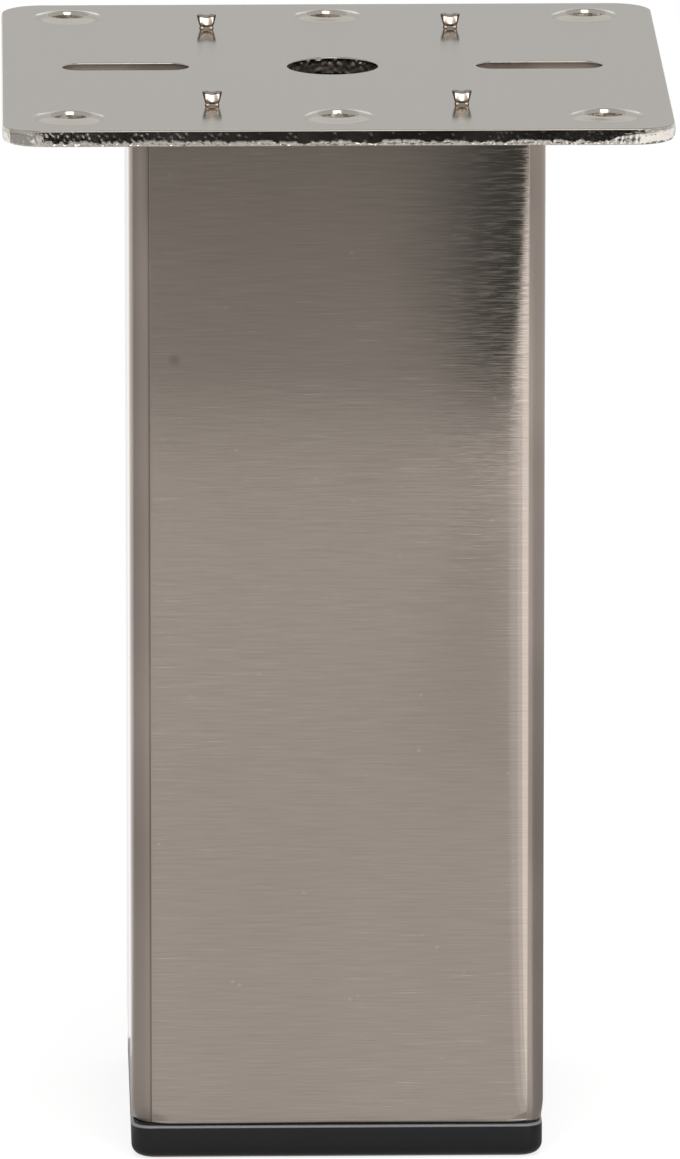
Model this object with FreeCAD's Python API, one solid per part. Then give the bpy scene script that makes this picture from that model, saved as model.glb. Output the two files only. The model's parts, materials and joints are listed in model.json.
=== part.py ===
import FreeCAD, Part
import math
import os
from FreeCAD import Vector

# A square furniture leg. A brushed steel tube stands on a moulded plastic cap that is pressed
# into its lower end, and a punched mounting plate is staked to four tabs on its upper end.
# Millimetres, +Z up, origin at the middle of the foot where it meets the floor, front at -Y.

# Overall
leg_height = 130.0              # floor to the plate's upper face

# Tube
tube_side = 50.0                # outside, across the flats
tube_wall = 1.2
tube_corner_radius = 2.0        # outside corner of the section
tube_inside_radius_least = 0.3  # tightest inside corner that the tube mill can roll
foot_lean = 0.2                 # how far the ground foot end leans in
foot_lean_height = 3.0
foot_edge_bevel = 0.35          # ground lower edge of the foot end

# Staked tabs on the front and back walls
tab_spacing = 29.8              # between the two tabs of one wall
tab_width = 1.6
tab_stand = 1.65                # height of the staked head above the plate
tab_neck_stand = 0.3            # straight neck between the plate and the flare
tab_head_width = 2.45
tab_head_thickness = 1.9
tab_groove_radius = 1.2         # left across the head by the staking punch, from front to back
tab_groove_depth = 0.4
tab_clearance = 0.06            # between a tab and its opening, each side

# Mounting plate
plate_side = 80.0
plate_thickness = 2.0
plate_corner_radius = 5.0
plate_roll_over = 0.28          # rounded upper edge left by the punch
fracture_height = 0.75          # torn lower part of the sheared edge
fracture_lean = 0.08

# Screw holes, pressed up from below so that a flush screw head sits under the plate
screw_spacing = 63.5            # corner to corner, both ways; the middle holes share it along Y
screw_hole_diameter = 4.5
dimple_diameter = 8.6
dimple_rise = 0.35              # at the hole's rim
countersink_diameter = 8.4
countersink_depth = 1.3

# Slots, one across each side wall of the tube
slot_length = 15.3
slot_width = 4.6
drain_hole_diameter = 11.0      # lets the plating bath run out of the tube
punched_rim_bevel = 0.2         # eased rim of the slots and of the drain hole

# Foot cap
cap_flange_height = 4.2
cap_inset = 0.1                 # flange inside the tube's outline, each side
cap_corner_radius = 2.4
cap_lower_round = 1.6
cap_shoulder_bevel = 0.35
cap_floor = 3.0
shadow_gap = 0.3                # open joint between the flange and the tube
seat_width = 0.5                # how much of the tube's end rests on the seat step
plug_depth = 12.0               # above the seat
plug_wall = 1.5
plug_gap = 0.6                  # between the plug's core and the tube
plug_lead = 1.0                 # chamfer at the plug's mouth
fin_count = 2
fin_thickness = 0.8
fin_corner_radius = 2.5         # keeps the fins clear of the tube's inside corners

# Places that follow from the sizes
seat_z = cap_flange_height + shadow_gap
plate_z = leg_height - plate_thickness
tube_bore = tube_side - 2 * tube_wall
tube_inside_radius = max(tube_corner_radius - tube_wall, tube_inside_radius_least)
plug_side = tube_bore - 2 * plug_gap
plug_top = seat_z + plug_depth
wall_middle = tube_side / 2 - tube_wall / 2

UP = Vector(0, 0, 1)
tolerance = 1e-6                # for telling which edges lie at a height


def rectangle(width, depth, z):
    """Closed outline with sharp corners, centred on the leg's axis at height z."""
    x = width / 2
    y = depth / 2
    corners = [Vector(-x, -y, z), Vector(x, -y, z), Vector(x, y, z), Vector(-x, y, z)]
    return Part.makePolygon(corners + corners[:1])


def rounded_square(side, radius, z):
    """Closed outline, centred on the leg's axis at height z: four sides joined by four tangent arcs."""
    half = side / 2
    bulge = radius * (1 - math.sqrt(0.5))
    arcs = []
    for sx, sy in [(1, 1), (-1, 1), (-1, -1), (1, -1)]:
        on_side = Vector(sx * half, sy * (half - radius), z)
        on_end = Vector(sx * (half - radius), sy * half, z)
        middle = Vector(sx * (half - bulge), sy * (half - bulge), z)
        first, last = (on_side, on_end) if sx == sy else (on_end, on_side)
        arcs.append((first, middle, last))
    edges = []
    for index, (first, middle, last) in enumerate(arcs):
        following = arcs[(index + 1) % len(arcs)][0]
        edges.append(Part.Arc(first, middle, last).toShape())
        edges.append(Part.LineSegment(last, following).toShape())
    return Part.Wire(edges)


def square_prism(side, radius, low, high):
    """Upright square bar with round corners, between two heights."""
    return Part.Face(rounded_square(side, radius, low)).extrude(UP * (high - low))


def edges_at(shape, z):
    """Edges of the shape that lie flat at height z."""
    def is_flat(edge):
        return abs(edge.BoundBox.ZMin - z) < tolerance and abs(edge.BoundBox.ZMax - z) < tolerance
    return [edge for edge in shape.Edges if is_flat(edge)]


def tab_places():
    """Middle of each tab, in the middle of the front and back walls' thickness."""
    for x in (-tab_spacing / 2, tab_spacing / 2):
        for y in (-wall_middle, wall_middle):
            yield Vector(x, y, 0)


def staked_tab():
    """One tab on the axis: a straight neck through the plate, and a flared head with a grooved top."""
    head_top = leg_height + tab_stand
    root = rectangle(tab_width, tube_wall, plate_z)
    neck = rectangle(tab_width, tube_wall, leg_height + tab_neck_stand)
    head = rectangle(tab_head_width, tab_head_thickness, head_top)
    tab = Part.makeLoft([root, neck, head], True, True)
    punch_end = Vector(0, -tab_head_thickness, head_top - tab_groove_depth + tab_groove_radius)
    punch = Part.makeCylinder(tab_groove_radius, 2 * tab_head_thickness, punch_end, Vector(0, 1, 0))
    return tab.cut(punch)


def leg_tube():
    """Square tube with its ground foot edge and its four staked tabs."""
    outside = square_prism(tube_side, tube_corner_radius, seat_z, plate_z)
    outside = outside.makeChamfer(foot_lean_height, foot_lean, edges_at(outside, seat_z))
    outside = outside.makeChamfer(min(foot_edge_bevel, tube_wall / 3), edges_at(outside, seat_z))
    tube = outside.cut(square_prism(tube_bore, tube_inside_radius, seat_z, plate_z))
    tabs = [staked_tab().translated(place) for place in tab_places()]
    return tube.fuse(tabs).removeSplitter()


def screw_places():
    """The four corner holes, and the two in the middle of the front and back rows."""
    reach = screw_spacing / 2
    for x in (-reach, 0, reach):
        for y in (-reach, reach):
            yield Vector(x, y, 0)


def slot(x):
    """Round-ended slot along X through the plate, centred over a side wall of the tube."""
    half_run = (slot_length - slot_width) / 2
    half_width = slot_width / 2
    corner = Vector(x - half_run, -half_width, plate_z)
    middle = Part.makeBox(2 * half_run, slot_width, plate_thickness, corner)
    left = Part.makeCylinder(half_width, plate_thickness, Vector(x - half_run, 0, plate_z))
    right = Part.makeCylinder(half_width, plate_thickness, Vector(x + half_run, 0, plate_z))
    return middle.fuse([left, right]).removeSplitter()


def mounting_plate():
    """Punched plate: sheared edge, pressed screw holes, slots, drain hole and the tabs' openings."""
    plate = square_prism(plate_side, plate_corner_radius, plate_z, leg_height)
    plate = plate.makeChamfer(fracture_height, fracture_lean, edges_at(plate, plate_z))
    plate = plate.makeFillet(plate_roll_over, edges_at(plate, leg_height))

    drain = Part.makeCylinder(drain_hole_diameter / 2, plate_thickness, Vector(0, 0, plate_z))
    punches = Part.makeCompound([drain, slot(-tube_side / 2), slot(tube_side / 2)])
    plate = plate.cut(punches)
    rims = [edge for edge in edges_at(plate, leg_height) if edge.distToShape(punches)[0] < tolerance]
    plate = plate.makeChamfer(punched_rim_bevel, rims)

    hole_radius = screw_hole_diameter / 2
    dimples = []
    holes = []
    for place in screw_places():
        top = place + UP * leg_height
        under = place + UP * plate_z
        dimples.append(Part.makeCone(dimple_diameter / 2, hole_radius, dimple_rise, top))
        holes.append(Part.makeCylinder(hole_radius, plate_thickness + dimple_rise, under))
        holes.append(Part.makeCone(countersink_diameter / 2, hole_radius, countersink_depth, under))
    for place in tab_places():
        width = tab_width + 2 * tab_clearance
        depth = tube_wall + 2 * tab_clearance
        corner = place + Vector(-width / 2, -depth / 2, plate_z)
        holes.append(Part.makeBox(width, depth, plate_thickness, corner))
    return plate.fuse(dimples).cut(holes).removeSplitter()


def foot_cap():
    """Moulded cap: a flange under the tube, a seat for the tube's end, and a finned hollow plug."""
    flange = square_prism(tube_side - 2 * cap_inset, cap_corner_radius, 0, cap_flange_height)
    flange = flange.makeFillet(cap_lower_round, edges_at(flange, 0))
    flange = flange.makeChamfer(cap_shoulder_bevel, edges_at(flange, cap_flange_height))

    seat_side = tube_bore + 2 * seat_width
    seat = square_prism(seat_side, tube_inside_radius + seat_width, cap_flange_height, seat_z)
    core = square_prism(plug_side, fin_corner_radius, seat_z, plug_top)
    core = core.makeChamfer(plug_lead, edges_at(core, plug_top))

    fin_pitch = (plug_depth - plug_lead) / fin_count
    fins = []
    for index in range(fin_count):
        low = seat_z + fin_pitch * index + (fin_pitch - fin_thickness) / 2
        fins.append(square_prism(tube_bore, fin_corner_radius, low, low + fin_thickness))

    hollow_side = plug_side - 2 * plug_wall
    hollow = square_prism(hollow_side, fin_corner_radius, cap_floor, plug_top)
    return flange.fuse([seat, core] + fins).cut(hollow).removeSplitter()


os.makedirs("parts", exist_ok=True)
nodes = {"leg_tube": leg_tube(), "mounting_plate": mounting_plate(), "foot_cap": foot_cap()}
for name, shape in nodes.items():
    shape.exportStep("parts/" + name + ".step")
    box = shape.BoundBox
    print(name, len(shape.Solids), "solid", "valid" if shape.isValid() else "INVALID",
          round(shape.Volume, 2), "mm3", round(box.ZMin, 3), "to", round(box.ZMax, 3))
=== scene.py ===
import json
import math

import bmesh
import bpy
import numpy as np
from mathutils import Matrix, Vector, geometry


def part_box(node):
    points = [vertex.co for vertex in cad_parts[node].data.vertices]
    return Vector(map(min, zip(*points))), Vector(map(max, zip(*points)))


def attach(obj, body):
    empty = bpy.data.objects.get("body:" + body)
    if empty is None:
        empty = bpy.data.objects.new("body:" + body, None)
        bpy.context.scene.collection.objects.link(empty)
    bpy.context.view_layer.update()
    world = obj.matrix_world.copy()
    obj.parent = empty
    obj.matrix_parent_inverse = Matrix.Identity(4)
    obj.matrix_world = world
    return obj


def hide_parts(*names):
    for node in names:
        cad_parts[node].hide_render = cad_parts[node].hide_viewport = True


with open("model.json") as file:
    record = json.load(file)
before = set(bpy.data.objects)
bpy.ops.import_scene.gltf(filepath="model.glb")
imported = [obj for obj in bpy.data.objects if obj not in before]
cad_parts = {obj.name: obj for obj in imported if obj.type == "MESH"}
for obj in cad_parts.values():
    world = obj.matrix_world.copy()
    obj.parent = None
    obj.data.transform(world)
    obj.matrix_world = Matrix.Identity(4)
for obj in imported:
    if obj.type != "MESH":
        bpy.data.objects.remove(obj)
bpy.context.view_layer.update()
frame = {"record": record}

MM = 0.001

# Leg tube
# A length of square welded steel tube. A belt brushes each face crosswise and rolls it off towards its
# right-hand edge, the corners keep the mill's matt skin, the foot end is ground, and all is nickel plated.
tube_low, tube_high = (np.array(corner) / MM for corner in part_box("leg_tube"))
plate_low, plate_high = (np.array(corner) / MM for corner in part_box("mounting_plate"))
tube_half = tube_high[0]
tube_foot = tube_low[2]
tube_top = plate_low[2]
tube_wall = 1.2
corner_radius = 2.0
roll_off_run = 3.2                    # length of a face that rolls off towards its right-hand edge
roll_off_turn = math.radians(14)
brush_left = -22.4                    # where the brushing starts and ends across a face
brush_right = 23.0
brush_fade = 0.05
polish_start = 4.0                    # the belt bears harder towards the right and leaves the face smoother
polish_end = 21.0
skip_low = 66.0                       # above the foot: the belt skips only near the plate, where it is held
skip_high = 86.0
brushed_roughness = 0.15
polished_roughness = 0.05
mill_roughness = 0.38
painted_light_line_at = -23.25                    # painted highlight: a light line near the left edge of a face, standing for a reflection on the corner
painted_light_line_width = 0.2
painted_dark_line_at = -22.5                      # painted shade: a dark line beside the brushed track, standing for a reflection on the corner
painted_dark_line_width = 0.12
painted_dark_line_strength = 0.22
foot_lean = 0.2
foot_lean_height = 3.0
foot_round = 0.15                     # ground lower edge
foot_burr = 0.06                      # turned up by the grinding, just above that edge
foot_burr_width = 0.1
foot_wave = 0.08                      # sawn end, not quite straight
foot_wave_length = 11.0
foot_wave_height = 1.5                # dies away over this height
foot_fine_height = 0.7                # close rows of points up to here, for the burr
corner_grind = [0.35, 0.5, 0.35, 1.2]  # the corners at the foot, each ground in by hand
corner_grind_height = 2.4
corner_grind_start = 4.5              # from the next side: where that grinding starts, and where it is full
corner_grind_full = 1.2
ground_wall_least = 0.1
top_bevel = 0.1
foot_round_rows = 5                   # rows of points round the lower edge, and in each run above it
foot_fine_rows = 12
foot_lean_rows = 9
tube_wall_rows = 20


def four_turns(quarter):
    """A quarter of a closed line, the same turned by 90, 180 and 270 degrees, and its first point again."""
    turn = np.array([[0.0, 1.0], [-1.0, 0.0]])
    sides = [quarter @ np.linalg.matrix_power(turn, count) for count in range(4)]
    return np.concatenate(sides + [quarter[:1]])


def tube_outline():
    """Points and outward normals round the section, with each point's place across its face. A face is flat,
    then turns by the square of the way along the roll-off, each point being the sum of the steps before it,
    and ends in an arc of the corner radius that completes the quarter turn."""
    roll_points = 41
    arc_points = 20
    mill_points = 8
    fade_points = 4
    brushed_points = 40
    brushed_start = brush_left + 1.0
    roll_angle = roll_off_turn * np.linspace(0, 1, roll_points) ** 2
    step_angle = (roll_angle[1:] + roll_angle[:-1]) / 2
    step = roll_off_run / len(step_angle)
    roll_x = np.concatenate([[0], np.cumsum(np.cos(step_angle))]) * step
    roll_y = np.concatenate([[0], np.cumsum(np.sin(step_angle))]) * step
    corner_angle = np.linspace(roll_off_turn, math.pi / 2, arc_points)[1:-1]
    corner_x = corner_radius * (np.sin(corner_angle) - math.sin(roll_off_turn))
    corner_y = corner_radius * (math.cos(roll_off_turn) - np.cos(corner_angle))
    flat_start = -tube_half + roll_y[-1] + corner_radius * math.cos(roll_off_turn)
    flat_end = tube_half - corner_radius * (1 - math.sin(roll_off_turn)) - roll_x[-1]
    flat_x = np.concatenate([np.linspace(flat_start, brush_left - brush_fade, mill_points, endpoint=False),
                             np.linspace(brush_left - brush_fade, brush_left + brush_fade, fade_points),
                             np.linspace(brushed_start, flat_end, brushed_points, endpoint=False)])
    across = np.concatenate([flat_x, flat_end + roll_x, flat_end + roll_x[-1] + corner_x])
    away = np.concatenate([np.zeros(len(flat_x)), roll_y, roll_y[-1] + corner_y])
    angle = np.concatenate([np.zeros(len(flat_x)), roll_angle, corner_angle])
    points = four_turns(np.stack([across, away - tube_half], axis=1))
    normals = four_turns(np.stack([np.sin(angle), -np.cos(angle)], axis=1))
    return points, normals, np.append(np.tile(across, 4), across[0])


def step_between(low, high, value):
    """0 below low, 1 above high, and a smooth S between: 3t squared less 2t cubed."""
    share = np.clip((value - low) / (high - low), 0, 1)
    return share * share * (3 - 2 * share)


def ragged(places, length, grain, seed):
    """Even random numbers from -1 to 1, one every grain along a closed length, joined by straight lines."""
    count = max(int(length / grain), 3)
    values = np.random.default_rng(seed).uniform(-1, 1, count)
    return np.interp(places, np.arange(count) * length / count, values, period=length)


def piece_from(name, grids, fills=()):
    """One closed mesh from grids of points in millimetres. Neighbours along a grid's rows and columns are
    joined by four-sided faces, fills are lists of points with their faces, and edges that meet are welded. A
    grid may carry one value a point under other names, for vertex attributes, and u and v, for its UV map.
    Level faces are shaded flat, and the rest smooth except over sharp edges."""
    weld_distance = 0.002 * MM
    sliver_size = 0.0005 * MM
    sharp_angle = math.radians(38)
    level_normal = 0.99999
    points = []
    faces = []
    values = {key: [] for grid in grids for key in grid if key != "at"}
    first = 0
    for grid in grids:
        rows, columns = grid["at"].shape[:2]
        index = first + np.arange(rows * columns).reshape(rows, columns)
        quads = np.stack([index[:-1, :-1], index[:-1, 1:], index[1:, 1:], index[1:, :-1]], axis=-1)
        faces.extend(quads.reshape(-1, 4).tolist())
        points.append(grid["at"].reshape(-1, 3))
        for key in values:
            values[key].append(np.broadcast_to(grid.get(key, 0.0), (rows, columns)).ravel())
        first += rows * columns
    for corners, corner_faces in fills:
        faces.extend([[first + corner for corner in face] for face in corner_faces])
        points.append(corners)
        for key in values:
            values[key].append(np.zeros(len(corners)))
        first += len(corners)
    mesh = bpy.data.meshes.new(name)
    mesh.from_pydata((np.concatenate(points) * MM).tolist(), [], faces)
    values = {key: np.concatenate(value).astype(np.float32) for key, value in values.items()}
    if "u" in values:
        corner_point = np.zeros(len(mesh.loops), dtype=np.int32)
        mesh.loops.foreach_get("vertex_index", corner_point)
        flat_map = np.stack([values.pop("u"), values.pop("v")], axis=1)[corner_point]
        mesh.uv_layers.new(name="surface").data.foreach_set("uv", (flat_map * MM).ravel())
    for key, value in values.items():
        mesh.attributes.new(key, "FLOAT", "POINT").data.foreach_set("value", value)
    work = bmesh.new()
    work.from_mesh(mesh)
    bmesh.ops.remove_doubles(work, verts=work.verts, dist=weld_distance)
    bmesh.ops.dissolve_degenerate(work, edges=work.edges, dist=sliver_size)
    bmesh.ops.recalc_face_normals(work, faces=work.faces)
    work.to_mesh(mesh)
    work.free()
    mesh.shade_smooth()
    mesh.set_sharp_from_angle(angle=sharp_angle)
    facing = np.zeros((len(mesh.polygons), 3), dtype=np.float32)
    mesh.polygons.foreach_get("normal", facing.ravel())
    mesh.polygons.foreach_set("use_smooth", np.abs(facing[:, 2]) < level_normal)
    piece = bpy.data.objects.new(name, mesh)
    bpy.context.scene.collection.objects.link(piece)
    weighted = piece.modifiers.new("face_weighted_normals", "WEIGHTED_NORMAL")
    weighted.keep_sharp = True
    return piece


outline, outline_normal, across_face = tube_outline()
run = np.concatenate([[0], np.cumsum(np.linalg.norm(np.diff(outline, axis=0), axis=1))])
near_corner = step_between(tube_half - corner_grind_start, tube_half - corner_grind_full,
                           np.abs(outline).min(axis=1))
corner_signs = np.array([[1, -1], [1, 1], [-1, 1], [-1, -1]])
own_corner = np.argmax(outline @ corner_signs.T, axis=1)
grind = near_corner * np.array(corner_grind)[own_corner]

round_turn = np.linspace(0, math.pi / 2, foot_round_rows)
lean_rise = np.concatenate([np.linspace(foot_round, foot_fine_height, foot_fine_rows)[1:],
                            np.linspace(foot_fine_height, foot_lean_height, foot_lean_rows)[1:]])
wall_rise = np.linspace(foot_lean_height, tube_top - tube_foot - top_bevel, tube_wall_rows)[1:]
outer_rise = np.concatenate([foot_round * (1 - np.cos(round_turn)), lean_rise, wall_rise,
                             [tube_top - tube_foot]])
outer_sink = foot_lean * np.clip(1 - outer_rise / foot_lean_height, 0, 1) ** 2
outer_sink[:len(round_turn)] += foot_round * (1 - np.sin(round_turn))
outer_sink -= foot_burr * np.exp(-((outer_rise - 2 * foot_burr_width) / foot_burr_width) ** 2)
outer_sink[-1] = top_bevel
grind_share = np.clip(1 - outer_rise / corner_grind_height, 0, 1)
sink = outer_sink[:, None] + (1 - np.sqrt(1 - grind_share[:, None] ** 2)) * grind
sink = np.minimum(sink, tube_wall - ground_wall_least)
wave = foot_wave * ragged(run, run[-1], foot_wave_length, seed=3)
rise = outer_rise[:, None] + wave * (1 - np.clip(outer_rise / foot_wave_height, 0, 1))[:, None]

inner_rise = np.stack([np.full(len(run), outer_rise[-1]), wave])
sink = np.concatenate([sink, np.full((2, len(run)), tube_wall), sink[:1]])
rise = np.concatenate([rise, inner_rise, rise[:1]])
tube_points = np.dstack([outline[:, 0] - sink * outline_normal[:, 0],
                         outline[:, 1] - sink * outline_normal[:, 1], tube_foot + rise])
outside = (np.arange(len(rise)) < len(outer_rise))[:, None]
brushed = (step_between(brush_left - brush_fade, brush_left + brush_fade, across_face)
           * step_between(-brush_right - brush_fade, -brush_right + brush_fade, -across_face)) * outside
polish = step_between(polish_start, polish_end, across_face)
brushed_satin = brushed_roughness + (polished_roughness - brushed_roughness) * polish
satin = mill_roughness + (brushed_satin - mill_roughness) * brushed
painted_light_line = np.exp(-((across_face - painted_light_line_at) / painted_light_line_width) ** 2)
painted_dark_line = np.exp(-((across_face - painted_dark_line_at) / painted_dark_line_width) ** 2)
lined = painted_light_line - painted_dark_line_strength * painted_dark_line
streaked = brushed * polish * step_between(skip_low, skip_high, rise)
tube_grid = {"at": tube_points, "u": tube_foot + rise, "v": np.broadcast_to(run, rise.shape),
             "brushed": brushed, "satin": satin, "streaked": streaked, "lined": lined}

# Staked tabs
# Four narrow tabs left standing on the tube's front and back walls. They pass through the plate, and a blunt
# punch spreads their ends over it, so each head flares and has a groove across its top.
tab_spacing = 29.8
tab_width = 1.6
tab_neck = 0.25                       # straight above the plate
tab_head_width = 2.4
tab_bulge_thickness = 1.9             # where the punch has pressed the head out, front and back
tab_bulge_share = 0.22                # of the head's height, at the middle of its width
tab_bulge_rise = 0.2                  # more at its sides
tab_top_thickness = 1.0
tab_corner = 0.12
tab_head_corner = 0.42
tab_groove_radius = 1.2
tab_groove_depth = 0.12
tab_rim_round = 0.03
tab_rim_share = 0.97                  # of the head's outline: the ring inside the rim, and the next
tab_groove_share = 0.92
tab_root_depth = 0.3                  # into the wall below
tab_roughness = 0.18
tab_painted_highlight = 0.6                        # lighter than the mill skin: a painted highlight
tab_side_normal = 0.2                 # share of a normal to the side, past which the tab is painted dark as shade
tab_rows = 21                         # of points up the head, and rings of points over its top
tab_rings = 9
tab_shaded_rows = 3                  # the highest of those rows, painted dark as shade too
mounts = {mount["name"]: mount for mount in frame["record"]["mounts"]}
plate_top = mounts["corner_screw_holes"]["pos_m"][2] / MM


def square_turn(side_steps, corner_steps):
    """Unit square with round corners, as two parts to be scaled: the square's own part, from -1 to 1 both
    ways, and the outward normal. A section is (half size less radius) times the first and radius times the
    second."""
    slide = np.linspace(-1, 1, side_steps, endpoint=False)
    angle = np.concatenate([np.zeros(side_steps), np.linspace(0, math.pi / 2, corner_steps, endpoint=False)])
    along = np.concatenate([slide, np.ones(corner_steps)])
    return (four_turns(np.stack([along, -np.ones(len(along))], axis=1)),
            four_turns(np.stack([np.sin(angle), -np.cos(angle)], axis=1)))


def staked_tab(x, y):
    """One tab: round-cornered sections from the neck to the top, which widen evenly from side to side, swell
    to the bulge and lean back from front to back, and are as high as their share of the way to the groove
    above. Rings are then drawn in over the top. The groove is an arc across it. The sides and top are painted
    dark as shade, and the rest lighter than the mill skin as a painted highlight."""
    square, normal = square_turn(side_steps=12, corner_steps=8)
    grow = np.linspace(0, 1, tab_rows)
    bulge = tab_bulge_share + tab_bulge_rise * square[:, 0] ** 2
    below = tube_wall + (tab_bulge_thickness - tube_wall) * grow[:, None] / bulge
    above = tab_top_thickness + (tab_bulge_thickness - tab_top_thickness) * (1 - grow[:, None]) / (1 - bulge)
    thickness = np.minimum(below, above)
    width = np.broadcast_to(tab_width + (tab_head_width - tab_width) * grow[:, None], thickness.shape)
    radius = (tab_corner + (tab_head_corner - tab_corner) * grow)[:, None, None]
    section = (np.dstack([width, thickness]) / 2 - radius) * square + radius * normal
    rings = np.concatenate([[tab_rim_share], np.linspace(tab_groove_share, 0.0, tab_rings)])[:, None, None]
    flat = np.concatenate([section[:1], section, section[-1] * rings])
    arc = np.sqrt(np.maximum(tab_groove_radius ** 2 - flat[..., 0] ** 2, 0))
    groove = np.minimum(tube_high[2], tube_high[2] - tab_groove_depth + tab_groove_radius - arc)
    neck_level = plate_top + tab_neck
    rising = neck_level + (groove[len(grow)] - tab_rim_round - neck_level) * grow[:, None]
    root = np.full((1, len(square)), tube_top - tab_root_depth)
    level = np.concatenate([root, rising, groove[len(grow) + 1:]])
    on_side = np.broadcast_to(np.abs(normal[:, 0]) > tab_side_normal, level.shape)
    on_top = (np.arange(len(level)) > len(grow) - tab_shaded_rows)[:, None]
    return {"at": np.dstack([x + flat[..., 0], y + flat[..., 1], level]), "satin": tab_roughness,
            "lined": tab_painted_highlight, "crushed": (on_side | on_top) * 1.0}


tab_y = tube_half - tube_wall / 2
tab_places = [(x, y) for x in (-tab_spacing / 2, tab_spacing / 2) for y in (-tab_y, tab_y)]
tab_grids = [staked_tab(x, y) for x, y in tab_places]
tab_fills = [(grid["at"][0, :-1], [list(range(grid["at"].shape[1] - 1))]) for grid in tab_grids]
tube = piece_from("leg_tube_dressed", [tube_grid] + tab_grids, tab_fills)


def linear(code):
    """The linear colour of an sRGB hex code: each share to the power 2.4, with a straight foot."""
    share = np.array([int(code[place:place + 2], 16) for place in (1, 3, 5)]) / 255
    return (*np.where(share <= 0.04045, share / 12.92, ((share + 0.055) / 1.055) ** 2.4).tolist(), 1.0)


def add(tree, kind, inputs=(), **settings):
    """Adds a node: settings are its own properties, and inputs its sockets, each given a value or a link."""
    node = tree.nodes.new(kind)
    for key, value in settings.items():
        setattr(node, key, value)
    for socket, value in dict(inputs).items():
        if isinstance(value, bpy.types.NodeSocket):
            tree.links.new(value, node.inputs[socket])
        else:
            node.inputs[socket].default_value = value
    return node


def new_material(name, base, metallic, roughness):
    """A material with one surface shader of these constants, its node tree and that shader."""
    material = bpy.data.materials.new(name)
    material.use_nodes = True
    tree = material.node_tree
    shader = tree.nodes["Principled BSDF"]
    shader.inputs["Base Color"].default_value = linear(base)
    shader.inputs["Metallic"].default_value = metallic
    shader.inputs["Roughness"].default_value = roughness
    return material, tree, shader


# Brushed nickel-plated steel. Scratches run round the tube, so a reflection is drawn out up and down and
# stays sharp sideways. Hairlines show faintly, short skips of the belt where the face is smooth, and a few
# pits are painted bright as glints. The mill's skin at the corners is matt, with a painted light line and a
# painted dark line, which stand for reflections on the corner.
hairline_height = 0.1                 # drawn coarser than the real 0.05 to show at all
hairline_length = 6.0
hairline_depth = 0.007
hairline_strength = 0.5
skip_height = 0.15
skip_length = 2.2
skip_roughness = 0.14
skip_from = 0.4                       # noise at which a skip starts, and is full
skip_full = 0.7
anisotropy = 0.85
pit_spacing = 4.0
pit_radius = 0.28
cloud_size = 30.0
cloud_share = 0.4                     # of the tint's range
smudge_at = (-19.5 * MM, -tube_half * MM, 99.0 * MM)
smudge_radius = 0.9
smudge_core = 0.2                     # radius that is stained evenly, and how strongly
smudge_strength = 0.3
brushed_nickel, tree, shader = new_material("brushed_nickel_plated_steel", "#C5B8AE", 1.0, brushed_roughness)
shader.inputs["Anisotropic"].default_value = anisotropy
tangent = add(tree, "ShaderNodeTangent", direction_type="UV_MAP", uv_map="surface")
tree.links.new(tangent.outputs["Tangent"], shader.inputs["Tangent"])
place = add(tree, "ShaderNodeTexCoord").outputs["Object"]
brushed_zone = add(tree, "ShaderNodeAttribute", attribute_name="brushed").outputs["Fac"]
streaked_zone = add(tree, "ShaderNodeAttribute", attribute_name="streaked").outputs["Fac"]
satin_zone = add(tree, "ShaderNodeAttribute", attribute_name="satin").outputs["Fac"]
painted_light_tint_zone = add(tree, "ShaderNodeAttribute", attribute_name="lined").outputs["Fac"]
painted_tab_shade_zone = add(tree, "ShaderNodeAttribute", attribute_name="crushed").outputs["Fac"]
marks = []
for length, height in ((hairline_length, hairline_height), (skip_length, skip_height)):
    stretch = (1 / (length * MM), 1 / (length * MM), 1 / (height * MM))
    along = add(tree, "ShaderNodeMapping", {"Vector": place, "Scale": stretch}).outputs["Vector"]
    noise = add(tree, "ShaderNodeTexNoise", {"Vector": along, "Scale": 1.0, "Detail": 2.0})
    marks.append(noise.outputs["Fac"])
lined_brushing, skips = marks
scratched = add(tree, "ShaderNodeMath", {0: brushed_zone, 1: lined_brushing}, operation="MULTIPLY")
hairline = scratched.outputs["Value"]
cloud = add(tree, "ShaderNodeTexNoise", {"Vector": place, "Scale": 1 / (cloud_size * MM), "Detail": 2.0})
tint_mixed = add(tree, "ShaderNodeMath", {0: cloud.outputs["Fac"], 1: cloud_share, 2: hairline},
                 operation="MULTIPLY_ADD")
tint_shifted = add(tree, "ShaderNodeMath", {0: tint_mixed.outputs["Value"], 1: painted_light_tint_zone},
                   operation="ADD")
tint = add(tree, "ShaderNodeValToRGB", {"Fac": tint_shifted.outputs["Value"]})
shades = tint.color_ramp.elements
shades[0].color = linear("#857A72")            # darkest tone of the mill skin, and the painted dark line
shades[1].color = linear("#E4D9D0")            # painted light line
shades.new(0.28).color = linear("#BBAEA5")     # mill skin
shades.new(0.9).color = linear("#CBBEB3")      # ridges of the hairlines
shades.new(0.4).color = linear("#BCAFA5")      # hollows of the hairlines
from_smudge = add(tree, "ShaderNodeVectorMath", {0: place, 1: smudge_at}, operation="DISTANCE")
smudge = add(tree, "ShaderNodeMapRange", {"Value": from_smudge.outputs["Value"],
                                          "From Min": smudge_core * MM, "From Max": smudge_radius * MM,
                                          "To Min": smudge_strength, "To Max": 0.0})
stained = add(tree, "ShaderNodeMix", {0: smudge.outputs["Result"], 6: tint.outputs["Color"],
                                      7: linear("#6E6660")}, data_type="RGBA")
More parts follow.
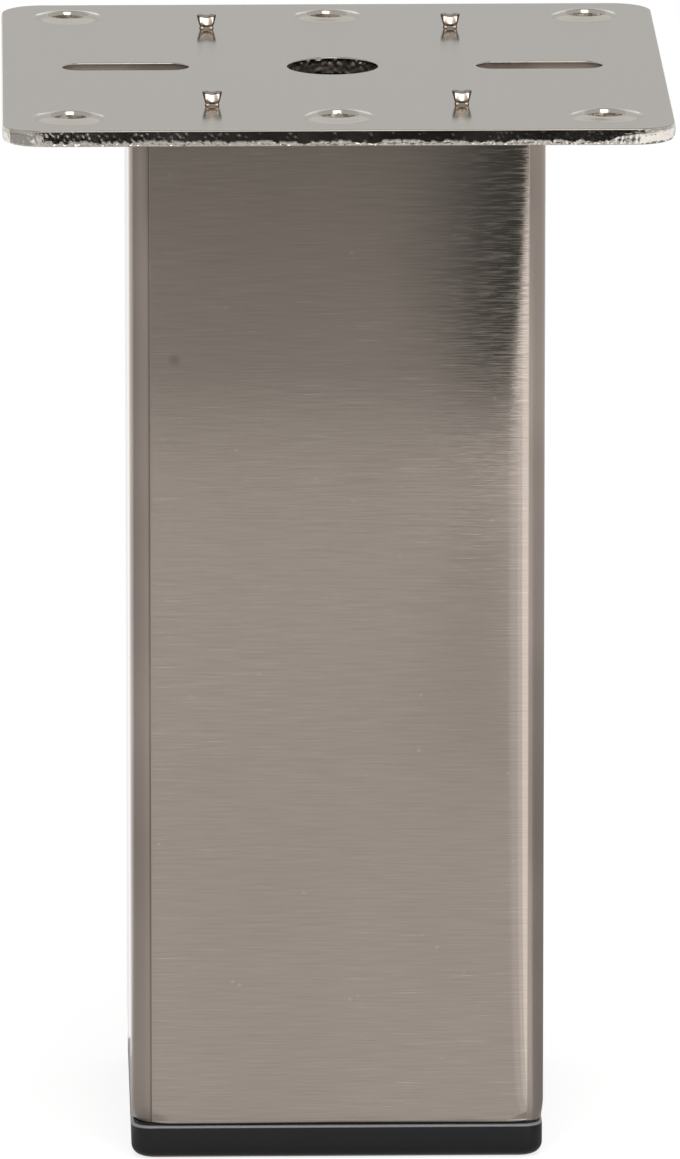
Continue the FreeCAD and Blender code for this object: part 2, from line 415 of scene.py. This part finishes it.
# painted highlight: pits on the brushed faces are painted a lighter colour, as glints
pit_place = add(tree, "ShaderNodeTexVoronoi", {"Vector": place, "Scale": 1 / (pit_spacing * MM)})
pit = add(tree, "ShaderNodeMapRange", {"Value": pit_place.outputs["Distance"], "From Min": 0.0,
                                       "From Max": pit_radius / pit_spacing, "To Min": 1.0, "To Max": 0.0})
pitted = add(tree, "ShaderNodeMath", {0: pit.outputs["Result"], 1: brushed_zone}, operation="MULTIPLY")
painted_pit_glints = add(tree, "ShaderNodeMix", {0: pitted.outputs["Value"], 6: stained.outputs[2],
                                          7: linear("#D9CDC3")}, data_type="RGBA")
# painted shade: the tabs' sides and top are painted dark
tab_shade_mix = add(tree, "ShaderNodeMix", {0: painted_tab_shade_zone, 6: painted_pit_glints.outputs[2], 7: linear("#5A524C")},
             data_type="RGBA")
tree.links.new(tab_shade_mix.outputs[2], shader.inputs["Base Color"])
skip = add(tree, "ShaderNodeMapRange", {"Value": skips, "From Min": skip_from, "From Max": skip_full,
                                        "To Min": 0.0, "To Max": skip_roughness})
rough = add(tree, "ShaderNodeMath", {0: skip.outputs["Result"], 1: streaked_zone, 2: satin_zone},
            operation="MULTIPLY_ADD")
tree.links.new(rough.outputs["Value"], shader.inputs["Roughness"])
lines = add(tree, "ShaderNodeBump", {"Strength": hairline_strength, "Distance": hairline_depth * MM,
                                     "Height": hairline})
tree.links.new(lines.outputs["Normal"], shader.inputs["Normal"])
tube.data.materials.append(brushed_nickel)
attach(tube, "root")
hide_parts("leg_tube")

# Mounting plate
# A square of sheet steel punched out in one stroke: its upper edge is drawn in, the blade burnishes a band
# below that, and the rest tears. Six screw holes are pressed up from below. It is barrel plated with nickel.
plate_half = plate_high[0]
plate_corner = 5.0
plate_under = plate_low[2]
roll_over_width = 0.28
roll_over_drop = 0.16
roll_rows = 7
band_rows = 7
tear_rows = 6
tear_height = 0.55
tear_wander = 0.14
tear_grain = 0.35
tear_bay = 9 * tear_grain             # longer waves along the same line
tear_lean = 0.08
tear_roughness = 0.09                 # depth of the torn grain
tear_end = 0.08                       # above the underside
tear_climb = 0.9                      # the tear runs up near the right-hand end of a side
tear_climb_run = 4.0
band_lean = 0.06                      # the burnished band still faces up a little
band_first_share = 0.02
band_least = 0.15                     # height of the band
speck_depth = 0.05                    # nicks in the burnished band
speck_depth_least = 0.5               # share of that depth
speck_odds_middle = 0.03
speck_odds_more = 0.06                # added over these distances from the middle of a side
speck_more_from = 8.0
speck_more_to = 26.0
speck_first_share = 0.1               # none nearer to the upper edge
under_round = 0.3
edge_step = 0.15
side_run = 2 * (plate_half - plate_corner)
edge_square, edge_normal = square_turn(int(side_run / edge_step),
                                       int(plate_corner * math.pi / 2 / edge_step))
edge_run = 4 * side_run + 2 * math.pi * plate_corner
edge_place = np.linspace(0, edge_run, len(edge_square))
side_place = edge_place % (edge_run / 4) - side_run / 2


def square_rows(half, radius, square, normal):
    """Flat rows of a round-cornered square: (half size less radius) times its own part, and radius times its
    normal. Half and radius have one row for each level, and one column or one for each point round it."""
    return (half - radius)[..., None] * square + radius[..., None] * normal


chance = np.random.default_rng(seed=11)
columns = len(edge_place)
roll_angle = np.linspace(0, math.pi / 2, roll_rows)[:, None]
roll_sink = band_lean + (roll_over_width - band_lean) * (1 - np.sin(roll_angle))
roll_sink = np.broadcast_to(roll_sink, (roll_rows, columns))
roll_level = np.broadcast_to(plate_top - roll_over_drop * (1 - np.cos(roll_angle)), (roll_rows, columns))
tear_waves = ragged(edge_place, edge_run, tear_grain, seed=5) + ragged(edge_place, edge_run, tear_bay, seed=6)
tear_edge = plate_under + tear_height + tear_wander * tear_waves
tear_edge += tear_climb * step_between(side_run / 2 - tear_climb_run, side_run / 2, side_place)
tear_edge = np.minimum(tear_edge, plate_top - roll_over_drop - band_least)
band_share = np.linspace(band_first_share, 1, band_rows)[:, None]
band_level = roll_level[-1] + (tear_edge - roll_level[-1]) * band_share
speck_odds = speck_odds_middle + speck_odds_more * step_between(speck_more_from, speck_more_to,
                                                                np.abs(side_place))
specks = (chance.random((band_rows, columns)) < speck_odds) * (band_share > speck_first_share)
speck_sink = speck_depth * specks * chance.uniform(speck_depth_least, 1, specks.shape)
band_sink = band_lean * (1 - band_share) + speck_sink
tear_share = np.linspace(0, 1, tear_rows + 1)[1:, None]
tear_level = tear_edge + (plate_under + tear_end - tear_edge) * tear_share
tear_sink = tear_lean * tear_share + tear_roughness * chance.random((tear_rows, columns))
tear_sink[-1] = tear_lean + tear_roughness
edge_sink = np.concatenate([roll_sink, band_sink, tear_sink, np.full((1, columns), under_round)])
edge_level = np.concatenate([roll_level, band_level, tear_level, np.full((1, columns), plate_under)])
edge_rows = square_rows(plate_half - edge_sink, plate_corner - edge_sink, edge_square, edge_normal)
row_kind = np.repeat(["top", "burnished", "torn"], [roll_rows - 1, band_rows + 1, tear_rows + 1])[:, None]
plate_edge = np.dstack([edge_rows, edge_level])
plate_grids = [{"at": plate_edge, "torn": (row_kind == "torn") * 1.0,
                "burnished": (row_kind == "burnished") * 1.0}]


def turned(x, y, radius, level, steps=96):
    """A profile of radius and level carried round an upright axis at x, y; both have a row for each point of
    the profile, and one column or one for each step of the turn."""
    angle = np.linspace(0, 2 * math.pi, steps + 1)
    radius, level, angle = np.broadcast_arrays(radius, level, angle)
    return np.dstack([x + radius * np.cos(angle), y + radius * np.sin(angle), level])


screw_mount = mounts["corner_screw_holes"]["dims"]
screw_reach = screw_mount["spacing_x_mm"] / 2
screw_radius = screw_mount["hole_r_mm"]
screw_places = [(x, y) for x in (-screw_reach, 0, screw_reach) for y in (-screw_reach, screw_reach)]
dimple_radius = 4.3
dimple_wander = 0.5                   # the press leaves the foot of the rise uneven
dimple_bay = 0.14                     # share of a turn between its bays
dimple_fullness = 0.8                 # power of the S: below 1 it rises sooner
dimple_rise = plate_high[2] - plate_top
dimple_rows = 14
rim_round = 0.16
rim_rows = 6
countersink_radius = 4.2
countersink_depth = 1.3
wall_rows = 9
wall_taper = 0.06
wall_start = 0.04                     # below the rim
rim_turn = np.linspace(0, math.pi / 2, rim_rows)[:, None]
round_rim = (rim_round * (1 - np.sin(rim_turn)), rim_round * (1 - np.cos(rim_turn)))
wall_shade_first = 0.2                # the wall is duller, and painted darker with depth as shade
wall_shade = np.linspace(wall_shade_first, 1, wall_rows)
wall_sheltered = np.concatenate([np.zeros(len(rim_turn)), wall_shade])[:, None]


def punched_wall(columns, wall_top, rim, grain, seed):
    """The wall that a punch leaves, under a rim at wall_top that is given as how far it stands back and how
    far it drops: the wall's own standing back at each column of a closed run, and its levels. Below the rim
    it is torn at random by up to the grain's depth, and a little wider at the foot."""
    rim_back, rim_drop = rim
    torn_share = np.linspace(0, 1, wall_rows)[:, None]
    torn_back = grain * np.random.default_rng(seed).random((wall_rows, columns)) + wall_taper * torn_share
    torn_back[:, -1] = torn_back[:, 0]
    rim_level = wall_top - rim_drop
    torn_level = rim_level[-1] - wall_start + (plate_under + wall_start - rim_level[-1]) * torn_share
    stand_back = np.concatenate([np.repeat(rim_back, columns, axis=1), torn_back])
    return stand_back, np.concatenate([rim_level, torn_level])


# A screw hole's lip is pressed over: how far it stands back from the bore, and drops, from its crest inwards.
lip_back = np.array([0.3, 0.27, 0.23, 0.16, 0.08, 0.0])[:, None]
lip_drop = np.array([0.0, 0.01, 0.05, 0.17, 0.31, 0.45])[:, None]
screw_grain = 0.06


def screw_hole(x, y, seed):
    """A pressed hole: the sheet rises in an S from the dimple's uneven foot to the rim, and the punched wall
    turns over the lip into the bore, which opens below in a cone."""
    steps = 96
    foot = dimple_radius + dimple_wander * ragged(np.linspace(0, 1, steps + 1), 1, dimple_bay, seed)
    rise_share = np.linspace(0, 1, dimple_rows)[:-1, None]
    rise_radius = foot + (screw_radius + lip_back[0] - foot) * rise_share
    rise_level = plate_top + dimple_rise * step_between(0, 1, rise_share) ** dimple_fullness
    stand_back, level = punched_wall(steps + 1, plate_high[2], (lip_back, lip_drop), screw_grain, seed)
    cone = np.interp(level, [plate_under, plate_under + countersink_depth],
                     [countersink_radius - screw_radius, 0])
    at = turned(x, y, np.concatenate([rise_radius, screw_radius + stand_back + cone]),
                np.concatenate([rise_level, level]), steps)
    return {"at": at, "sheltered": np.concatenate([0 * rise_share, wall_sheltered])}


drain_radius = mounts["drain_hole"]["dims"]["r_mm"]
drain_grain = 0.2
slot_length = 15.3
slot_width = 4.6
slot_grain = 0.06
film_shade_top = 1.2                  # painted shade of the slots' film under the rim, and how fast it falls off
film_shade_fall = 2.0


def drain_hole(seed):
    """The punched wall carried round the middle of the plate."""
    steps = 160
    stand_back, level = punched_wall(steps + 1, plate_top, round_rim, drain_grain, seed)
    return {"at": turned(0, 0, drain_radius + stand_back, level, steps), "sheltered": wall_sheltered}


def slot(x, seed):
    """The punched wall carried round a slot: two half circles joined by straight runs along X. The wall is
    painted a brown non-metal colour, darkest under the rim, as painted shade."""
    end_steps = 24
    side_steps = 60
    half_run = (slot_length - slot_width) / 2
    slide = np.linspace(-1, 1, side_steps)[1:-1]
    end_turn = np.linspace(-math.pi / 2, math.pi / 2, end_steps)
    along_slot = np.concatenate([np.ones(end_steps), -slide, -np.ones(end_steps), slide, [1.0]])
    straight = np.full(side_steps - 2, math.pi / 2)
    angle = np.concatenate([end_turn, straight, end_turn + math.pi, -straight, end_turn[:1]])
    stand_back, level = punched_wall(len(angle), plate_top, round_rim, slot_grain, seed)
    radius, level, angle = np.broadcast_arrays(slot_width / 2 + stand_back, level, angle)
    at = np.dstack([x + along_slot * half_run + radius * np.cos(angle), radius * np.sin(angle), level])
    on_wall = wall_sheltered > 0
    shade = np.clip(film_shade_top - film_shade_fall * wall_sheltered, 0, 1)
    return {"at": at, "filmed": on_wall * 1.0, "sheltered": on_wall * shade}


def tab_opening(x, y):
    """Straight walls of the rectangle that a tab passes through."""
    gap = 0.06
    corner_x = x + (tab_width / 2 + gap) * np.array([-1, 1, 1, -1, -1])
    corner_y = y + (tube_wall / 2 + gap) * np.array([-1, -1, 1, 1, -1])
    return np.dstack(np.broadcast_arrays(corner_x, corner_y, np.array([[plate_top], [plate_under]])))


holes = [screw_hole(x, y, seed) for seed, (x, y) in enumerate(screw_places, start=60)]
holes += [drain_hole(seed=70), slot(-tube_half, seed=71), slot(tube_half, seed=72)]
holes += [{"at": tab_opening(x, y)} for x, y in tab_places]
plate_grids += holes


def web(outer, inners):
    """Flat triangles between an outer loop and the loops inside it: a Delaunay mesh of all the loops, without
    the triangles that have all three corners on one inner loop."""
    merge_distance = 1e-6
    loops = [loop[:-1] for loop in [outer] + inners]
    corners = np.concatenate(loops)
    owner = np.repeat(np.arange(len(loops)), [len(loop) for loop in loops])
    starts = np.cumsum([0] + [len(loop) for loop in loops])
    edges = np.concatenate([np.stack([np.arange(low, high), np.roll(np.arange(low, high), -1)], axis=1)
                            for low, high in zip(starts[:-1], starts[1:])])
    flat = [Vector(corner) for corner in corners[:, :2].tolist()]
    found, origins = geometry.delaunay_2d_cdt(flat, edges.tolist(), [], 0, merge_distance)[2:4]
    source = np.array([origin[0] for origin in origins])
    triangles = source[np.array(found)]
    owners = owner[triangles]
    inside_hole = (owners[:, 0] == owners[:, 1]) & (owners[:, 1] == owners[:, 2]) & (owners[:, 0] > 0)
    return corners, triangles[~inside_hole].tolist()


top_web = web(plate_edge[0], [hole["at"][0] for hole in holes])
under_web = web(plate_edge[-1], [hole["at"][-1] for hole in holes])
plate = piece_from("mounting_plate_dressed", plate_grids, [top_web, under_web])

# Barrel-plated nickel on smooth sheet: a satin mirror with a faint orange peel and dull clouds, a little
# clearer where the blade burnished the edge, paler where it tore, partly as a painted highlight, and thin,
# dull and brown down in the holes, painted darker with depth as shade. The slots' walls are painted a brown
# non-metal colour, darkest under the rim, as painted shade.
plate_colour = "#CAC4B9"
peel_size = 1.6
peel_depth = 0.004
peel_strength = 0.2
bloom_size = 9.0
bloom_low = 0.3                       # noise at which the plate is glossiest, and dullest
bloom_high = 0.7
plate_glossiest = 0.12                # its roughness there
plate_dullest = 0.17
sheltered_dulling = 0.42              # added to the roughness, as the next is
burnished_dulling = -0.02
plated_sheet, tree, shader = new_material("barrel_nickel_plated_sheet", plate_colour, 1.0, 0.2)
place = add(tree, "ShaderNodeTexCoord").outputs["Object"]
bloom = add(tree, "ShaderNodeTexNoise", {"Vector": place, "Scale": 1 / (bloom_size * MM), "Detail": 4.0})
peel = add(tree, "ShaderNodeTexNoise", {"Vector": place, "Scale": 1 / (peel_size * MM), "Detail": 2.0})
gloss = add(tree, "ShaderNodeMapRange", {"Value": bloom.outputs["Fac"],
                                         "From Min": bloom_low, "From Max": bloom_high,
                                         "To Min": plate_glossiest, "To Max": plate_dullest})
burnished_zone = add(tree, "ShaderNodeAttribute", attribute_name="burnished").outputs["Fac"]
sheltered_zone = add(tree, "ShaderNodeAttribute", attribute_name="sheltered").outputs["Fac"]
torn_zone = add(tree, "ShaderNodeAttribute", attribute_name="torn").outputs["Fac"]
painted_film_zone = add(tree, "ShaderNodeAttribute", attribute_name="filmed").outputs["Fac"]
dull = add(tree, "ShaderNodeMath", {0: sheltered_zone, 1: sheltered_dulling, 2: gloss.outputs["Result"]},
           operation="MULTIPLY_ADD")
finish = add(tree, "ShaderNodeMath", {0: burnished_zone, 1: burnished_dulling, 2: dull.outputs["Value"]},
             operation="MULTIPLY_ADD")
tree.links.new(finish.outputs["Value"], shader.inputs["Roughness"])
# painted shade: hole walls turn browner and darker with depth, on top of their thin plating
thin_plating_and_painted_shade = add(tree, "ShaderNodeMix", {0: sheltered_zone, 6: linear(plate_colour), 7: linear("#8C7C72")},
           data_type="RGBA")
# partly painted highlight: the torn band's own paler colour, lifted further to whiten its sparkle
torn_colour_and_painted_highlight = add(tree, "ShaderNodeMix", {0: torn_zone, 6: thin_plating_and_painted_shade.outputs[2], 7: linear("#E4DED6")},
            data_type="RGBA")
# painted shade: the slot walls' brown, darkest under the rim, and not metal
painted_film_shade = add(tree, "ShaderNodeMix", {0: sheltered_zone, 6: linear("#7A6E66"), 7: linear("#4A403A")},
           data_type="RGBA")
filmed = add(tree, "ShaderNodeMix", {0: painted_film_zone, 6: torn_colour_and_painted_highlight.outputs[2], 7: painted_film_shade.outputs[2]},
             data_type="RGBA")
tree.links.new(filmed.outputs[2], shader.inputs["Base Color"])
bare_metal = add(tree, "ShaderNodeMath", {0: 1.0, 1: painted_film_zone}, operation="SUBTRACT")
tree.links.new(bare_metal.outputs["Value"], shader.inputs["Metallic"])
ripple = add(tree, "ShaderNodeBump", {"Strength": peel_strength, "Distance": peel_depth * MM,
                                      "Height": peel.outputs["Fac"]})
tree.links.new(ripple.outputs["Normal"], shader.inputs["Normal"])
plate.data.materials.append(plated_sheet)
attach(plate, "root")
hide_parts("mounting_plate")

# Foot cap
# One black plastic moulding: a flange that carries the tube's end on a low seat, and a hollow plug with thin
# fins that grip inside the tube.
cap_high = np.array(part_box("foot_cap")[1]) / MM
cap_half = cap_high[0]
cap_corner = 2.4
cap_height = 4.2
cap_lower_round = 1.6
cap_lip_round = 0.3
cap_lower_rows = 14
cap_lip_rows = 8
cap_corner_share = 0.6                # of what the flange is drawn in by, taken off its corner radius
seat_width = 0.5                      # how much of the tube's end rests on the seat
seat_half = tube_half - tube_wall + seat_width
seat_corner = 1.3
plug_gap = 0.6
plug_half = tube_half - tube_wall - plug_gap
fin_half = tube_half - tube_wall
plug_corner = 2.5
plug_wall = 1.5
plug_lead = 1.0
plug_floor = 3.0
fin_thickness = 0.8
fin_shares = np.array([0.25, 0.75])   # of the way up the plug
fin_levels = tube_foot + (cap_high[2] - plug_lead - tube_foot) * fin_shares

lower_turn = np.linspace(0, math.pi / 2, cap_lower_rows)
lip_turn = np.linspace(0, math.pi / 2, cap_lip_rows)
lower_half = cap_half - cap_lower_round * (1 - np.sin(lower_turn))
lower_level = cap_lower_round * (1 - np.cos(lower_turn))
lip_half = cap_half - cap_lip_round * (1 - np.cos(lip_turn))
lip_level = cap_height - cap_lip_round * (1 - np.sin(lip_turn))
fin_half_rows = np.tile([plug_half, fin_half, fin_half, plug_half], len(fin_levels))
fin_level_rows = (fin_levels[:, None] + fin_thickness / 2 * np.array([-1, -1, 1, 1])).ravel()
hollow_half = plug_half - plug_wall
cap_half_rows = np.concatenate([lower_half, lip_half, [seat_half, seat_half, plug_half], fin_half_rows,
                                [plug_half, plug_half - plug_lead, hollow_half, hollow_half]])
cap_level = np.concatenate([lower_level, lip_level, [cap_height, tube_foot, tube_foot], fin_level_rows,
                            [cap_high[2] - plug_lead, cap_high[2], cap_high[2], plug_floor]])
flange_rows = cap_lower_rows + cap_lip_rows
seat_rows = 2
cap_corner_rows = np.full(len(cap_level), plug_corner)
cap_corner_rows[:flange_rows] = cap_corner - (cap_half - cap_half_rows[:flange_rows]) * cap_corner_share
cap_corner_rows[flange_rows:flange_rows + seat_rows] = seat_corner
cap_square, cap_normal = square_turn(side_steps=60, corner_steps=16)
cap_rows = square_rows(cap_half_rows[:, None], cap_corner_rows[:, None], cap_square, cap_normal)
cap_points = np.dstack([cap_rows, np.repeat(cap_level[:, None], len(cap_square), axis=1)])
cap_ring = list(range(len(cap_square) - 1))
# painted highlight: the lip's rounding is painted a lighter grey
scuffed = np.zeros((len(cap_level), 1))
scuffed[cap_lower_rows + 1:flange_rows] = 1.0
cap = piece_from("foot_cap_dressed", [{"at": cap_points, "scuffed": scuffed}],
                 [(cap_points[0, :-1], [cap_ring]), (cap_points[-1, :-1], [cap_ring])])

# Moulded black polyethylene: a fine spark-eroded grain softens its gloss, and the lip is painted a lighter
# grey as a highlight.
cap_colour = "#0B0B0C"
grain_size = 0.22
grain_depth = 0.02
grain_strength = 0.4
grain_low = 0.3                       # noise at which the cap is glossiest, and dullest
grain_high = 0.7
cap_glossiest = 0.32                  # its roughness there
cap_dullest = 0.5
moulded_black, tree, shader = new_material("moulded_black_polyethylene", cap_colour, 0.0, 0.4)
place = add(tree, "ShaderNodeTexCoord").outputs["Object"]
spark = add(tree, "ShaderNodeTexNoise", {"Vector": place, "Scale": 1 / (grain_size * MM), "Detail": 2.0})
gloss = add(tree, "ShaderNodeMapRange", {"Value": spark.outputs["Fac"],
                                         "From Min": grain_low, "From Max": grain_high,
                                         "To Min": cap_glossiest, "To Max": cap_dullest})
tree.links.new(gloss.outputs["Result"], shader.inputs["Roughness"])
lip_highlight_zone = add(tree, "ShaderNodeAttribute", attribute_name="scuffed").outputs["Fac"]
lip_highlight_mix = add(tree, "ShaderNodeMix", {0: lip_highlight_zone, 6: linear(cap_colour), 7: linear("#68686A")},
           data_type="RGBA")
tree.links.new(lip_highlight_mix.outputs[2], shader.inputs["Base Color"])
bumps = add(tree, "ShaderNodeBump", {"Strength": grain_strength, "Distance": grain_depth * MM,
                                     "Height": spark.outputs["Fac"]})
tree.links.new(bumps.outputs["Normal"], shader.inputs["Normal"])
cap.data.materials.append(moulded_black)
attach(cap, "root")
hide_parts("foot_cap")

# Floor, lights and camera
# A white paper floor, two soft boxes that light it and the cap, and cards that only glossy surfaces see:
# dark flags on the camera's side, grey tables around the foot, grey cards under the leg and to its right that
# stand for its shadow on the floor (painted shadow), a bright card for the key, and pale sheets behind and
# above.
floor_reach = 4.0
floor_glow = 0.8                      # share of the paper that shows as plain white, to keep its shadow light


def flat_sheet(name, corners, material):
    """A flat stage piece with these corners, in metres."""
    mesh = bpy.data.meshes.new(name)
    mesh.from_pydata(corners, [], [list(range(len(corners)))])
    mesh.materials.append(material)
    sheet = bpy.data.objects.new(name, mesh)
    bpy.context.scene.collection.objects.link(sheet)
    return sheet


paper, tree, shader = new_material("matt_white_paper", "#F4F4F3", 0.0, 0.9)
ray = add(tree, "ShaderNodeLightPath").outputs
mirrored = add(tree, "ShaderNodeMath", {0: ray["Is Glossy Ray"], 1: ray["Is Transmission Ray"]},
               operation="MAXIMUM")
seen = add(tree, "ShaderNodeMath", {0: ray["Is Camera Ray"], 1: mirrored.outputs["Value"]},
           operation="MAXIMUM")
white_share = add(tree, "ShaderNodeMath", {0: seen.outputs["Value"], 1: floor_glow}, operation="MULTIPLY")
white = add(tree, "ShaderNodeEmission", {"Color": linear("#FFFFFF"), "Strength": 1.0})
both = add(tree, "ShaderNodeMixShader", {0: white_share.outputs["Value"], 1: shader.outputs["BSDF"],
                                         2: white.outputs["Emission"]})
tree.links.new(both.outputs["Shader"], tree.nodes["Material Output"].inputs["Surface"])
flat_sheet("paper_floor", [(-floor_reach, -floor_reach, 0), (floor_reach, -floor_reach, 0),
                           (floor_reach, floor_reach, 0), (-floor_reach, floor_reach, 0)], paper)

card_level = 0.0004                   # just above the paper
soft_level = 1.5 * card_level         # over the tables
flag_y = -0.225
flag_foot = 0.1                       # the grey flags reach up to the black one
flag_right = 0.149
near_y = -0.033                       # the tables' edges: near the leg, and on the way to the room
middle_y = -0.22
far_y = -0.33
room_y = -0.46
near_x = 0.0255
middle_x = 0.0331
far_x = 0.0376
room_x = 0.043
table_left = -0.06
table_far = 3.0
shade_half = 0.033
back_y = 1.2
back_half = 0.9


def on_floor(*places, level=card_level):
    """Corners of a card that lies over the paper."""
    return [(x, y, level) for x, y in places]


def upright(left, right, low, high, y=flag_y):
    """Corners of a card that stands across the view."""
    return [(left, y, low), (right, y, low), (right, y, high), (left, y, high)]


key_aside = math.radians(-8)
key_height = math.radians(50)
key_distance = 0.9
key_half_width = 0.26
key_half_height = 0.18
key_at = key_distance * np.array([-math.sin(key_aside) * math.cos(key_height),
                                  -math.cos(key_aside) * math.cos(key_height), math.sin(key_height)])
key_across = key_half_width * np.array([math.cos(key_aside), -math.sin(key_aside), 0.0])
key_upward = key_half_height * np.array([math.sin(key_aside) * math.sin(key_height),
                                         math.cos(key_aside) * math.sin(key_height), math.cos(key_height)])
key_corners = [(key_at + across * key_across + up * key_upward).tolist()
               for across, up in ((-1, -1), (1, -1), (1, 1), (-1, 1))]
dark_flag = [(0.0245, 0.05), (0.026, 0.051), (0.036, 0.056), (0.079, 0.074), (flag_right, 0.09),
             (flag_right, flag_foot), (0.0245, flag_foot)]
cards = {
    "black_flag_card": ("#161616", upright(-0.13, flag_right, flag_foot, 0.14)),
    "dark_flag_card": ("#494D4B", [(x, flag_y, z) for x, z in dark_flag]),
    "third_flag_card": ("#5A5C5A", upright(0.0215, 0.0245, 0.051, flag_foot)),
    "second_flag_card": ("#707170", upright(0.0175, 0.0215, 0.052, flag_foot)),
    "first_flag_card": ("#80807F", upright(0.0125, 0.0175, 0.053, flag_foot)),
    "grey_flag_card": ("#8C8C8A", upright(-0.03, 0.0125, 0.053, flag_foot)),
    "left_wedge_card": ("#D4D4D4", on_floor((-0.314, -0.75), (-0.062, -0.75), (-0.0245, near_y),
                                            (-0.03, near_y))),
    "front_table_card": ("#C4C4C4", on_floor((table_left, middle_y), (middle_x, middle_y), (near_x, near_y),
                                             (table_left, near_y))),
    "middle_table_card": ("#BABABA", on_floor((table_left, far_y), (far_x, far_y), (middle_x, middle_y),
                                              (table_left, middle_y))),
    "soft_wedge_card": ("#CECECE", on_floor((0.0345, room_y), (room_x, room_y), (near_x, near_y),
                                            (0.0246, near_y), level=soft_level)),
    "bright_wedge_card": ("#D4D4D4", on_floor((room_x, room_y), (0.075, room_y), (0.028, near_y),
                                              (near_x, near_y))),
    "white_wedge_card": ("#E9E9E9", on_floor((0.075, room_y), (0.115, room_y), (0.03, near_y),
                                             (0.028, near_y))),
    "far_table_card": ("#AEAEAE", on_floor((table_left, room_y), (room_x, room_y), (far_x, far_y),
                                           (table_left, far_y))),
    "left_near_card": ("#C0C0C0", on_floor((-0.113, -0.255), (-0.03, near_y), (-0.03, 0.02), (-0.28, 0.094),
                                           (-0.28, -0.1))),
    "left_table_card": ("#9E9E9E", on_floor((-table_far, room_y), (-0.19, room_y), (-0.113, -0.255),
                                            (-0.28, -0.1), (-0.28, 0.094), (-table_far, 0.9))),
    # painted shadow: the leg's shadow on the floor to its right, seen only in reflections
    "right_table_card": ("#8A8A8A", on_floor((0.034, -0.034), (0.17, -0.24), (0.3, -0.1), (0.3, 0.25),
                                             (0.034, 0.25))),
    # painted shadow: the leg's contact shadow under its foot, seen only in reflections
    "shade_card": ("#A4A4A4", on_floor((-shade_half, -shade_half), (shade_half, -shade_half),
                                       (shade_half, shade_half), (-shade_half, shade_half))),
    "key_card": ("#FFFFFF", key_corners),
    "back_light_card": ("#E4E4E4", upright(-back_half, back_half, 0.6, 1.35, back_y)),
    "back_sweep_card": ("#FFFFFF", upright(-back_half, back_half, 0.0, 0.2, back_y)),
    "ceiling_card": ("#898989", on_floor((-0.4, -0.25), (0.4, -0.25), (0.4, 0.45), (-0.4, 0.45), level=1.0)),
}
card_strength = {"key_card": 2.6, "back_sweep_card": 1.2}
for name, (colour, corners) in cards.items():
    felt, tree, shader = new_material(name + "_felt", "#000000", 0.0, 1.0)
    shader.inputs["Specular IOR Level"].default_value = 0.0
    shader.inputs["Emission Color"].default_value = linear(colour)
    shader.inputs["Emission Strength"].default_value = card_strength.get(name, 1.0)
    card = flat_sheet(name, corners, felt)
    card.visible_camera = False
    card.visible_diffuse = False
    card.visible_shadow = False

world = bpy.data.worlds.new("pale_studio")
world.use_nodes = True
world.node_tree.nodes["Background"].inputs["Color"].default_value = linear("#C9C9C9")
bpy.context.scene.world = world


def soft_box(name, at, towards, width, height, power):
    """An area lamp at a place, turned to shine towards another."""
    lamp = bpy.data.lights.new(name, "AREA")
    lamp.shape = "RECTANGLE"
    lamp.size = width
    lamp.size_y = height
    lamp.energy = power
    holder = bpy.data.objects.new(name, lamp)
    holder.location = at
    holder.rotation_euler = (Vector(towards) - Vector(at)).to_track_quat("-Z", "Y").to_euler()
    bpy.context.scene.collection.objects.link(holder)
    return holder


overhead = soft_box("overhead_soft_box", at=(0.0, -0.15, 1.3), towards=(0.0, 0.0, 0.0), width=1.2, height=1.2,
                    power=14.0)
overhead.visible_glossy = False
key = soft_box("key_soft_box", at=key_at, towards=(0.0, 0.0, 0.1), width=0.8, height=0.5, power=5.6)
key.visible_glossy = False

camera_yaw = math.radians(-1.268)
camera_pitch = math.radians(12.814)
camera_distance = 1.9514
camera_target = Vector((0.0009, 0.0, 0.066308))
camera_lens = 497.94
ahead = Vector((-math.sin(camera_yaw) * math.cos(camera_pitch),
                math.cos(camera_yaw) * math.cos(camera_pitch), -math.sin(camera_pitch)))
camera_data = bpy.data.cameras.new("camera")
camera_data.sensor_width = 36.0
camera_data.lens = camera_lens
camera_data.clip_end = 20.0
camera = bpy.data.objects.new("camera", camera_data)
camera.location = camera_target - camera_distance * ahead
camera.rotation_euler = ahead.to_track_quat("-Z", "Y").to_euler()
bpy.context.scene.collection.objects.link(camera)
bpy.context.scene.camera = camera
bpy.context.scene.view_settings.view_transform = "Standard"
